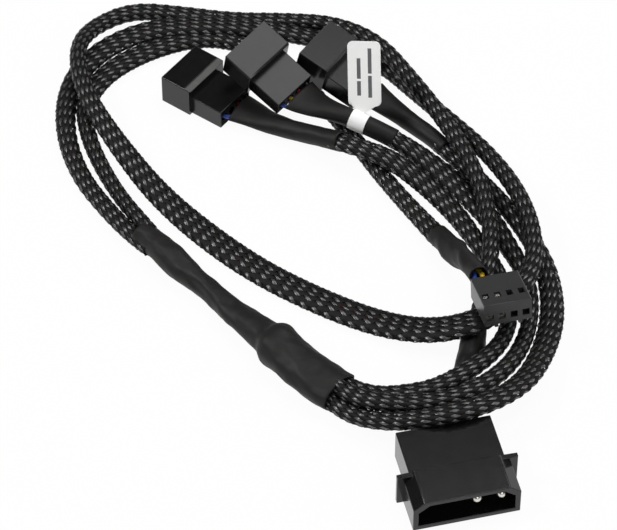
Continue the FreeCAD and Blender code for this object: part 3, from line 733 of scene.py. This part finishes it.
def shrinkTree(settings):
    tree, given, made = newTree(
        "heatShrinkTube", "GeometryNodeTree",
        [*routeSockets, ("Step", "Float", 0.0004), ("Around", "Int", 40), ("Wall", "Float", 0.0003),
         ("Lip", "Float", 0.001), ("Wrinkle", "Float", 0.0002), ("Wrinkle Size", "Float", 0.004),
         ("Flatten", "Float", 0.0), ("End Flatten", "Float", 0.0), ("End Drop", "Float", 0.0),
         ("Fold", "Float", 0.0), ("Fold Twist", "Float", 300.0), ("Seed", "Float", 0.0),
         ("Material", "Material", None)], geometryOut)
    route, span = routeSpan(tree, given)
    rings = calc(tree, "CEIL", calc(tree, "DIVIDE", span, given["Step"]))
    rows = calc(tree, "ADD", rings, 4.0)                          # two more at each end for the wall
    columns = calc(tree, "ADD", given["Around"], 1.0)
    grid, row, column = indexedGrid(tree, rows, columns)
    ring = calc(tree, "SUBTRACT", row, 2.0)
    last = calc(tree, "SUBTRACT", rings, 1.0)
    share = addNode(tree, "ShaderNodeClamp", {"Value": calc(tree, "DIVIDE", ring, last)}).outputs[0]
    atStart = calc(tree, "LESS_THAN", row, 0.5)
    atEnd = calc(tree, "GREATER_THAN", row, calc(tree, "SUBTRACT", rows, 1.5))
    inner = calc(tree, "ADD", calc(tree, "LESS_THAN", ring, -0.5),
                 calc(tree, "GREATER_THAN", ring, calc(tree, "ADD", last, 0.5)))
    along = lengthAt(tree, given, share, span)
    turnedIn = calc(tree, "MULTIPLY", calc(tree, "SUBTRACT", atStart, atEnd), given["Lip"])
    along = calc(tree, "ADD", along, turnedIn)
    turn = calc(tree, "DIVIDE", column, given["Around"])
    grid, turnKept = capture(tree, grid, turn)
    grid, alongKept = capture(tree, grid, along)
    angle = calc(tree, "MULTIPLY", turn, 2 * math.pi)

    # Wrinkles from noise on a cylinder, and a fold that winds round the tube
    scale = calc(tree, "DIVIDE", 1.0, given["Wrinkle Size"])
    *frameParts, wide = pathFrame(tree, route, along)
    around = addNode(tree, "ShaderNodeCombineXYZ", {
        "X": calc(tree, "MULTIPLY", calc(tree, "COSINE", angle), wide),
        "Y": calc(tree, "MULTIPLY", calc(tree, "SINE", angle), wide),
        "Z": calc(tree, "MULTIPLY", along, settings["stretch"])}).outputs[0]
    bumps = addNode(tree, "ShaderNodeTexNoise",
                    {"Vector": around, "W": given["Seed"], "Scale": scale, **settings["noise"]},
                    noise_dimensions="4D").outputs["Fac"]
    crease = calc(tree, "ADD", angle, calc(tree, "MULTIPLY", along, given["Fold Twist"]))
    crease = calc(tree, "ABSOLUTE", calc(tree, "COSINE", crease))
    crease = calc(tree, "POWER", crease, settings["foldSharpness"])
    middle = calc(tree, "MULTIPLY", eased(tree, share, *settings["foldStarts"]),
                  calc(tree, "SUBTRACT", 1.0, eased(tree, share, *settings["foldEnds"])))
    swell = calc(tree, "MULTIPLY", calc(tree, "SUBTRACT", bumps, 0.5), given["Wrinkle"])
    folded = calc(tree, "MULTIPLY", calc(tree, "MULTIPLY", crease, middle), given["Fold"])
    swell = calc(tree, "ADD", swell, folded)
    swell = calc(tree, "SUBTRACT", swell, calc(tree, "MULTIPLY", inner, given["Wall"]))
    late = eased(tree, share, *settings["flattens"])
    flat = calc(tree, "ADD", given["Flatten"], calc(tree, "MULTIPLY", late, given["End Flatten"]))
    out = calc(tree, "MULTIPLY", wide, calc(tree, "ADD", 1.0, flat))
    high = calc(tree, "MULTIPLY", wide, calc(tree, "SUBTRACT", 1.0, flat))
    outward = calc(tree, "MULTIPLY", calc(tree, "COSINE", angle), calc(tree, "ADD", out, swell))
    height = calc(tree, "MULTIPLY", calc(tree, "SINE", angle), calc(tree, "ADD", high, swell))
    height = calc(tree, "SUBTRACT", height, calc(tree, "MULTIPLY", late, given["End Drop"]))
    skin = setAround(tree, grid, frameParts, outward, height)
    chartY = calc(tree, "MULTIPLY", alongKept, settings["chartPerMetre"])
    skin = storeChart(tree, skin, "tubeChart", turnKept, chartY)
    skin = addNode(tree, "GeometryNodeMergeByDistance", {"Geometry": skin, "Distance": 0.001 * mm}).outputs[0]
    setInput(tree, made["Geometry"], finishTree(tree, skin, given["Material"]))
    return tree


def growPiece(name, tree, values):
    piece = bpy.data.objects.new(name, bpy.data.meshes.new(name))
    scene.collection.objects.link(piece)
    modifier = piece.modifiers.new("grow", "NODES")
    modifier.node_group = tree
    for item in tree.interface.items_tree:
        if item.item_type == "SOCKET" and item.in_out == "INPUT" and item.name in values:
            modifier[item.identifier] = values[item.name]
    depsgraph = bpy.context.evaluated_depsgraph_get()
    mesh = bpy.data.meshes.new_from_object(piece.evaluated_get(depsgraph))
    piece.modifiers.remove(modifier)
    piece.data = mesh
    mesh.name = name
    return piece


def joinPieces(name, pieces):
    joined = bmesh.new()
    materials = []
    for slotNumber, piece in enumerate(pieces):
        before = len(joined.faces)
        joined.from_mesh(piece.data)
        joined.faces.ensure_lookup_table()
        for face in joined.faces[before:]:
            face.material_index = slotNumber
        materials.append(piece.data.materials[0])
        bpy.data.objects.remove(piece)
    return pieceFrom(joined, name, materials)


def settle(piece, slotName, *replaced):
    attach(piece, "root")
    if replaced:
        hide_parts(*replaced)
    return piece


sleeveBraid = braidTree(ribbonSettings)
sleeveWires = wireTree(wanderSettings)
shrinkTube = shrinkTree(wrinkleSettings)
shrinkLooks = {
    "power": {"Wrinkle": 1.4 * mm, "Wrinkle Size": 3.0 * mm, "Fold": 0.3 * mm, "Fold Twist": 260.0,
              "Seed": 1.0},
    "control": {"Wrinkle": 1.0 * mm, "Wrinkle Size": 4.0 * mm, "Fold": 0.55 * mm, "Fold Twist": 240.0,
                "Seed": 2.0},
    "left": {"Wrinkle": 0.7 * mm, "Wrinkle Size": 4.0 * mm, "End Flatten": 0.5, "Seed": 3.0},
    "middle": {"Wrinkle": 0.4 * mm, "Wrinkle Size": 5.0 * mm, "End Flatten": 0.5, "Seed": 4.0},
    "right": {"Wrinkle": 0.7 * mm, "Wrinkle Size": 4.0 * mm, "End Flatten": 0.45, "Seed": 5.0},
}
tuckedIn = 2.0 * mm         # braid under the end of its heat-shrink
turnStep = 0.7              # radians, from lead to lead
cordPieces = {}
for number, (name, lead) in enumerate(leads.items()):
    node = name if name in ("power", "control") else "fan_" + name
    points = lead["open"] + lead["covered"]
    route = makeRoute(node + "_route", points, spreadWidths(lead["widths"], len(points)))
    line = routePoints(route)
    lengths = lengthsAlong(line)
    boundary = (Vector(lead["open"][-1]) + Vector(lead["covered"][0])) / 2 * mm
    bare = nearestLength(line, lengths, boundary)
    braidEnd = bare + tuckedIn
    sleeve = growPiece(node + "_braid", sleeveBraid, {
        **braidSettings, "Route": route, "Start": 0.0, "End": braidEnd, "Turn": turnStep * number,
        "Material": shadedFilament, "Opposed Material": highlightFilament})
    strands = []
    for strand, role in enumerate(lead["wires"]):
        strands.append(growPiece(node + "_strand_" + role, sleeveWires, {
            **wireSettings, "Route": route, "Start": 0.0, "End": lengths[-1], "Wires": len(lead["wires"]),
            "Number": strand, "Radius": lead["wireDiameter"] / 2 * mm, "Material": insulation[role]}))
    wires = joinPieces(node + "_strands", strands)
    shrink = growPiece(node + "_shrink_skin", shrinkTube, {
        **shrinkSettings, **shrinkLooks[name], "Route": route, "Start": bare, "End": lengths[-1],
        "Material": shrinkSkin})
    settle(sleeve, "braided_sleeve", node + "_lead_sleeve")
    settle(wires, "wire_bundle", node + "_lead_wires")
    settle(shrink, "heat_shrink", node + "_heat_shrink")
    path = [point for point, length in zip(line, lengths) if length <= braidEnd]
    cordPieces[name] = {"sleeve": sleeve, "wires": wires, "shrink": shrink, "path": path, "length": braidEnd,
                        "housing": "control_socket_housing" if name == "control" else node + "_plug_housing"}
    bpy.data.objects.remove(route)
    print(node, "lead", round(lengths[-1] / mm, 1), "mm, braid", round(braidEnd / mm, 1), "mm,",
          len(sleeve.data.polygons), "braid faces")


# Junction shrink: section centres from the two-lead end, in mm, with the width at each
junctionSettings = {
    "centres": [
        (-34.8, 19.9, 3.3), (-33.6, 17.7, 3.3), (-30.2, 11.5, 3.4), (-28.1, 7.9, 3.2), (-27.0, 6.0, 3.0),
        (-23.9, 0.6, 2.6), (-20.7, -5.5, 2.7), (-17.7, -11.1, 3.4), (-15.6, -15.1, 4.0), (-15.0, -16.2, 4.2),
        (-14.3, -17.5, 4.6), (-13.4, -19.2, 4.6), (-12.1, -21.5, 4.5), (-9.8, -25.4, 4.5), (-7.1, -29.8, 4.7),
        (-4.4, -33.3, 4.85),
    ],
    "widths": [5.6, 5.8, 5.9, 5.7, 5.2, 4.9, 5.2, 5.8, 6.3, 7.2, 9.0, 9.1, 8.8, 8.7, 8.6, 8.5],
    "looks": {
        "Wrinkle": 2.0 * mm, "Wrinkle Size": 5.0 * mm, "Fold": 0.35 * mm, "Fold Twist": 90.0, "Seed": 6.0,
        "End Flatten": 0.2, "End Drop": 1.3 * mm, "Around": 64, "Wall": 0.5 * mm, "Lip": 3.0 * mm,
    },
}


def makeJunction(settings):
    route = makeRoute("junction_route", settings["centres"], settings["widths"])
    length = lengthsAlong(routePoints(route))[-1]
    skin = growPiece("junction_skin", shrinkTube, {
        **shrinkSettings, **settings["looks"], "Route": route, "Start": 0.0, "End": length,
        "Material": shrinkSkin})
    bpy.data.objects.remove(route)
    return settle(skin, "heat_shrink", "junction_heat_shrink", "junction_wire_splice")


makeJunction(junctionSettings)
print("junction made")


# Plug housings: the moulded forms with their edges broken
plainSlot, edgeHighlightSlot, stepReflectionSlot, rearShadeSlot = range(4)
housingSettings = {
    "flat": 1.0,                # degrees: faces that meet at less are one
    "edge": 0.16 * mm,
    "segments": 2,
    "sharpAngle": 35.0,         # degrees
    "shortest": 2.2 * mm,       # shorter edges stay sharp
    "stepEdge": 0.45 * mm,      # chamfer along the step in a fan plug's top, in the edge plastic with its painted highlight
    "reflectingStepSlope": (0.7 * mm, 0.7 * mm),       # on the plug whose step slope shows a painted reflection: its drop, and how much longer it runs
    # fan plugs with a step: lower rear middle in mm, heading and pitch in degrees
    "steps": {
        "fan_left_plug_housing": ((-6.8, 52.82, 0.0), 130.0, 0.0),
        "fan_middle_plug_housing": ((5.6, 49.5, 5.25), 126.0, 18.0),
        "fan_right_plug_housing": ((22.0, 49.7, 2.3), 132.5, 14.0),
    },
    "reflectingStepPlug": "fan_left_plug_housing",
    "rearRange": (-1.0 * mm, 1.0 * mm),     # ahead of a fan plug's rear
    "riserRange": (2.0 * mm, 20.0 * mm),
    "facesBack": -0.9,          # the normal's part along the plug, at most
    "facesUp": 0.7,             # and its upward part, at least
    "level": 0.1 * mm,          # corners this close to the highest count as the top
}


def rearwardFaces(shape, place, nearest, furthest):
    rear, heading, pitch = place
    forward = Matrix.Rotation(math.radians(heading), 3, "Z") @ Matrix.Rotation(math.radians(-pitch), 3, "Y")
    forward = forward @ Vector((1.0, 0.0, 0.0))
    found = []
    for face in shape.faces:
        ahead = (face.calc_center_median() - Vector(rear) * mm).dot(forward)
        if face.normal.dot(forward) < housingSettings["facesBack"] and nearest < ahead < furthest:
            found.append(face)
    return found


def chamferStep(shape, faces, offset, material):
    edges = []
    for face in faces:
        for edge in face.edges:
            other = [neighbour for neighbour in edge.link_faces if neighbour is not face]
            if edge.is_convex and other and other[0].normal.z > housingSettings["facesUp"]:
                edges.append(edge)
    top = max(vertex.co.z for edge in edges for vertex in edge.verts)
    lowest = top - housingSettings["level"]
    edges = [edge for edge in edges if max(vertex.co.z for vertex in edge.verts) > lowest]
    made = bmesh.ops.bevel(shape, geom=edges, offset=offset, offset_type="OFFSET", affect="EDGES",
                           segments=1, profile=0.5, clamp_overlap=False, material=material)
    return made["faces"]


def lengthenSlope(faces, heading, run):
    forward = Vector((math.cos(math.radians(heading)), math.sin(math.radians(heading)), 0.0))
    corners = {vertex for face in faces for vertex in face.verts}
    top = max(vertex.co.z for vertex in corners)
    for vertex in corners:
        if vertex.co.z > top - housingSettings["level"] / 2:
            vertex.co += forward * run


def dressHousing(node, plastic, settings):
    shape = bmesh.new()
    shape.from_mesh(nodes[node].data)
    bmesh.ops.remove_doubles(shape, verts=shape.verts, dist=weld)
    bmesh.ops.dissolve_limit(shape, angle_limit=math.radians(settings["flat"]), verts=shape.verts,
                             edges=shape.edges)
    shape.normal_update()
    if node in settings["steps"]:
        place = settings["steps"][node]
        # rear faces take the darker, duller plastic: painted shade
        for face in rearwardFaces(shape, place, *settings["rearRange"]):
            face.material_index = rearShadeSlot
        riser = rearwardFaces(shape, place, *settings["riserRange"])
        # one plug's step slope is light grey: a painted reflection
        if node == settings["reflectingStepPlug"]:
            drop, run = settings["reflectingStepSlope"]
            slope = chamferStep(shape, riser, drop, stepReflectionSlot)
            lengthenSlope(slope, place[1], run)
        else:
            slope = chamferStep(shape, riser, settings["stepEdge"], edgeHighlightSlot)
        print(node, len(slope), "faces in the slope of its step")
    edges = []
    for edge in shape.edges:
        long = edge.calc_length() > settings["shortest"]
        if long and edge.is_convex and edge.calc_face_angle(0.0) > math.radians(settings["sharpAngle"]):
            edges.append(edge)
    # broken edges take the lighter edge plastic: a painted highlight
    bmesh.ops.bevel(shape, geom=edges, offset=settings["edge"], offset_type="OFFSET", affect="EDGES",
                    segments=settings["segments"], profile=0.5, clamp_overlap=False, material=edgeHighlightSlot)
    for face in shape.faces:
        face.smooth = face.material_index == edgeHighlightSlot
    bmesh.ops.triangulate(shape, faces=shape.faces, quad_method="BEAUTY", ngon_method="BEAUTY")
    piece = pieceFrom(shape, node + "_moulding", (
        plastic, plastics["plugEdge"], plastics["plugScuffed"], plastics["plugRear"]))
    return settle(piece, "plug_plastic", node)


ownPlastic = {"control_socket_housing": "socketPlastic", "power_plug_housing": "powerPlastic"}
for node in (parts["housing"] for parts in cordPieces.values()):
    plastic = plastics[ownPlastic.get(node, "plugPlastic")]
    dressHousing(node, plastic, housingSettings)
print("housings dressed")


# Latch tangs: sprung tongues of the two terminals, seen in the socket's windows
tangSettings = {
    "rear": (32.5, -18.82, 8.41),       # mm, as the socket lies
    "heading": -90.0,                   # degrees
    "pitch": 14.0,
    "ways": {"control": -3.81, "speed": -1.27},
    "profile": [(8.0, 2.9), (7.7, 3.3), (7.35, 4.0), (7.05, 4.55), (6.8, 4.8)],
    "width": 0.9,
    "thickness": 0.16,
    "slant": 0.08,                      # of a section, over its thickness
    "edge": 0.03,
}


def makeTang(role, offset, settings):
    turn = Matrix.Rotation(math.radians(settings["heading"]), 4, "Z")
    turn = turn @ Matrix.Rotation(math.radians(-settings["pitch"]), 4, "Y")
    half = settings["width"] / 2
    shape = bmesh.new()
    rings = []
    for ahead, high in settings["profile"]:
        behind, below = ahead - settings["thickness"], high - settings["slant"]
        corners = [(ahead, -half, high), (ahead, half, high), (behind, half, below), (behind, -half, below)]
        rings.append([shape.verts.new(corner) for corner in corners])
    for before, after in zip(rings, rings[1:]):
        for side in range(4):
            shape.faces.new((before[side], before[side - 1], after[side - 1], after[side]))
    shape.faces.new(rings[0])
    shape.faces.new(rings[-1])
    bmesh.ops.recalc_face_normals(shape, faces=shape.faces)
    bmesh.ops.bevel(shape, geom=list(shape.edges), offset=settings["edge"], offset_type="OFFSET",
                    affect="EDGES", segments=1, profile=0.5, clamp_overlap=True)
    for vertex in shape.verts:
        local = vertex.co + Vector((0.0, offset, 0.0))
        vertex.co = (Vector(settings["rear"]) + turn @ local) * mm
    return settle(pieceFrom(shape, "control_tang_" + role, [platedContact]), "plated_contact")


for role, offset in tangSettings["ways"].items():
    makeTang(role, offset, tangSettings)
print("tangs made")


# Label: white paper with plain printed bars
labelSettings = {
    "shader": {"IOR": 1.45},
    "tones": ((0.93, 0.93, 0.92), (0.97, 0.97, 0.96)),
    "rough": (0.5, 0.68),
    "grain": {"Scale": 1800.0, "Detail": 4.0},
    "bump": (0.2, 0.02 * mm),
    "print": (0.03, 0.03, 0.035),
    "printStrength": 0.9,
    "centre": (17.65, 38.04, 6.59),     # mm, on the lead's axis
    "heading": 141.1,                   # degrees
    "rise": 7.15,
    "lean": 35.0,
    "skew": 9.0,                # as modelled
    "hang": 22.0,               # as the flag hangs
    "shift": (-1.4, 0.0, 1.4),  # of the flag on its wrap, in mm
    "wrap": (1.95, 2.4),        # half the wrap's width and its radius, in mm
    "shorter": 0.95,
    # bars: place across the flag, thickness, start and end along it, in mm
    "bars": [(1.2, 0.85, 4.4, 7.6), (1.2, 0.85, 8.1, 12.6), (-1.3, 0.85, 4.0, 8.8),
             (-1.3, 0.85, 9.3, 14.8)],
}


def labelTurn(settings):
    turn = Matrix.Rotation(math.radians(settings["heading"]), 3, "Z")
    turn = turn @ Matrix.Rotation(math.radians(-settings["rise"]), 3, "Y")
    return turn @ Matrix.Rotation(math.radians(settings["lean"]), 3, "X")


def labelFinish(settings):
    material, tree, sockets = grainedFinish("labelPaper", settings)
    turn = labelTurn(settings) @ Matrix.Rotation(math.radians(settings["hang"]), 3, "Y")
    place = addNode(tree, "ShaderNodeTexCoord").outputs["Object"]
    flat = addNode(tree, "ShaderNodeMapping", {
        "Vector": place, "Location": (Vector(settings["centre"]) + turn @ Vector(settings["shift"])) * mm,
        "Rotation": turn.to_euler("XYZ"), "Scale": (mm, mm, mm)}, vector_type="TEXTURE").outputs["Vector"]
    parts = addNode(tree, "ShaderNodeSeparateXYZ", {"Vector": flat}).outputs
    ink = None
    for middle, thick, start, end in settings["bars"]:
        across = calc(tree, "COMPARE", parts["X"], middle, thick / 2)
        along = calc(tree, "COMPARE", parts["Z"], (start + end) / 2, (end - start) / 2)
        bar = calc(tree, "MULTIPLY", across, along)
        ink = bar if ink is None else calc(tree, "MAXIMUM", ink, bar)
    paper = sockets["Base Color"].links[0].from_socket
    ink = calc(tree, "MULTIPLY", ink, settings["printStrength"])
    setInput(tree, sockets["Base Color"], mixedColour(tree, ink, paper, settings["print"]))
    return material


labelPaper = labelFinish(labelSettings)


def hangLabel(settings):
    turn = labelTurn(settings)
    back = turn.inverted()
    upright = Matrix.Rotation(math.radians(-settings["skew"]), 3, "Y")
    hung = Matrix.Rotation(math.radians(settings["hang"]), 3, "Y")
    centre = Vector(settings["centre"])
    halfWidth, radius = settings["wrap"]
    shape = bmesh.new()
    shape.from_mesh(nodes["speed_lead_label"].data)
    bmesh.ops.remove_doubles(shape, verts=shape.verts, dist=weld)
    for vertex in shape.verts:
        local = back @ (vertex.co / mm - centre)
        if math.hypot(local.y, local.z) > radius or abs(local.x) > halfWidth:
            flat = upright @ local
            flat.z *= settings["shorter"]
            vertex.co = (centre + turn @ (hung @ (flat + Vector(settings["shift"])))) * mm
    flag = pieceFrom(shape, "speed_label_flag", [labelPaper])
    return settle(flag, "label_paper", "speed_lead_label")


hangLabel(labelSettings)
print("label hung")


# Plain finishes for the nodes that stay as they are
def finishNode(node, material):
    nodes[node].data.materials.clear()
    nodes[node].data.materials.append(material)


for node in nodes:
    if "_pin_" in node or "_terminal_" in node:
        finishNode(node, platedContact)
    elif "_wire_" in node and node.rsplit("_", 1)[1] in insulation:
        finishNode(node, insulation[node.rsplit("_", 1)[1]])

# cordPieces keeps each lead's length as that of its braid, from the junction to its heat-shrink
print("cords declared")


# Stage: pale floor and soft light
plainWhite = (1.0, 1.0, 1.0, 1.0)
stageSettings = {
    "floorSize": 3.0,
    "floorTone": 0.9,
    "floorShow": 0.95,          # how much of the floor the camera sees as plain white
    "lamps": {
        "overhead": {"place": (0.285, 0.185, 0.942), "across": (0.97, -0.23, 0.0), "size": (0.9, 0.67),
                     "power": 6.0},
        "left": {"place": (-0.75, 0.2, 0.85), "across": (0.0, 1.0, 0.0), "size": (0.28, 0.28), "power": 6.0},
        "right": {"place": (0.85, -0.2, 0.45), "across": (0.0, 1.0, 0.0), "size": (0.5, 0.5), "power": 1.6},
        "front": {"place": (0.05, -0.8, 0.6), "across": (1.0, 0.0, 0.0), "size": (0.5, 0.3), "power": 1.6},
    },
    "worldLow": 1.0,            # the backdrop, round the horizon
    "worldHigh": 0.03,          # above the backdrop
    "backdropTop": (0.04, 0.28),    # height on the unit sphere where the backdrop fades out
}


def makeFloor(settings):
    shape = bmesh.new()
    bmesh.ops.create_grid(shape, x_segments=2, y_segments=2, size=settings["floorSize"] / 2)
    material = bpy.data.materials.new("paleFloor")
    material.use_nodes = True
    tree = material.node_tree
    tree.nodes.clear()
    tone = (settings["floorTone"],) * 3 + (1.0,)
    matt = addNode(tree, "ShaderNodeBsdfDiffuse", {"Color": tone}).outputs[0]
    glow = addNode(tree, "ShaderNodeEmission", {"Color": plainWhite, "Strength": 1.0}).outputs[0]
    rays = addNode(tree, "ShaderNodeLightPath").outputs
    seen = calc(tree, "MAXIMUM", rays["Is Camera Ray"], rays["Is Glossy Ray"])
    seen = calc(tree, "MAXIMUM", seen, rays["Is Transmission Ray"])
    share = calc(tree, "MULTIPLY", seen, settings["floorShow"])
    showMixed(tree, "ShaderNodeOutputMaterial", share, matt, glow)
    pieceFrom(shape, "studioFloor", [material])


def makeLamps(settings):
    for name, lamp in settings["lamps"].items():
        data = bpy.data.lights.new(name + "Lamp", "AREA")
        data.shape = "RECTANGLE"
        data.size, data.size_y = lamp["size"]
        data.energy = lamp["power"]
        light = bpy.data.objects.new(name + "Lamp", data)
        light.location = lamp["place"]
        away = Vector(lamp["place"]).normalized()
        level = Vector(lamp["across"])
        level = (level - away * level.dot(away)).normalized()
        light.rotation_euler = Matrix((level, away.cross(level), away)).transposed().to_euler()
        scene.collection.objects.link(light)


def makeWorld(settings):
    world = bpy.data.worlds.new("studioWorld")
    scene.world = world
    world.use_nodes = True
    tree = world.node_tree
    tree.nodes.clear()
    rays = addNode(tree, "ShaderNodeLightPath").outputs
    way = addNode(tree, "ShaderNodeTexCoord").outputs["Generated"]
    height = addNode(tree, "ShaderNodeSeparateXYZ", {"Vector": way}).outputs["Z"]
    low, high = settings["backdropTop"]
    tone = addNode(tree, "ShaderNodeMapRange", {
        "Value": height, "From Min": low, "From Max": high, "To Min": settings["worldLow"],
        "To Max": settings["worldHigh"]}, interpolation_type="SMOOTHSTEP").outputs[0]
    soft = addNode(tree, "ShaderNodeBackground", {"Color": plainWhite, "Strength": tone}).outputs[0]
    white = addNode(tree, "ShaderNodeBackground", {"Color": plainWhite, "Strength": 1.0}).outputs[0]
    showMixed(tree, "ShaderNodeOutputWorld", rays["Is Camera Ray"], soft, white)


makeFloor(stageSettings)
makeLamps(stageSettings)
makeWorld(stageSettings)
scene.view_settings.view_transform = "Standard"
print("stage set")
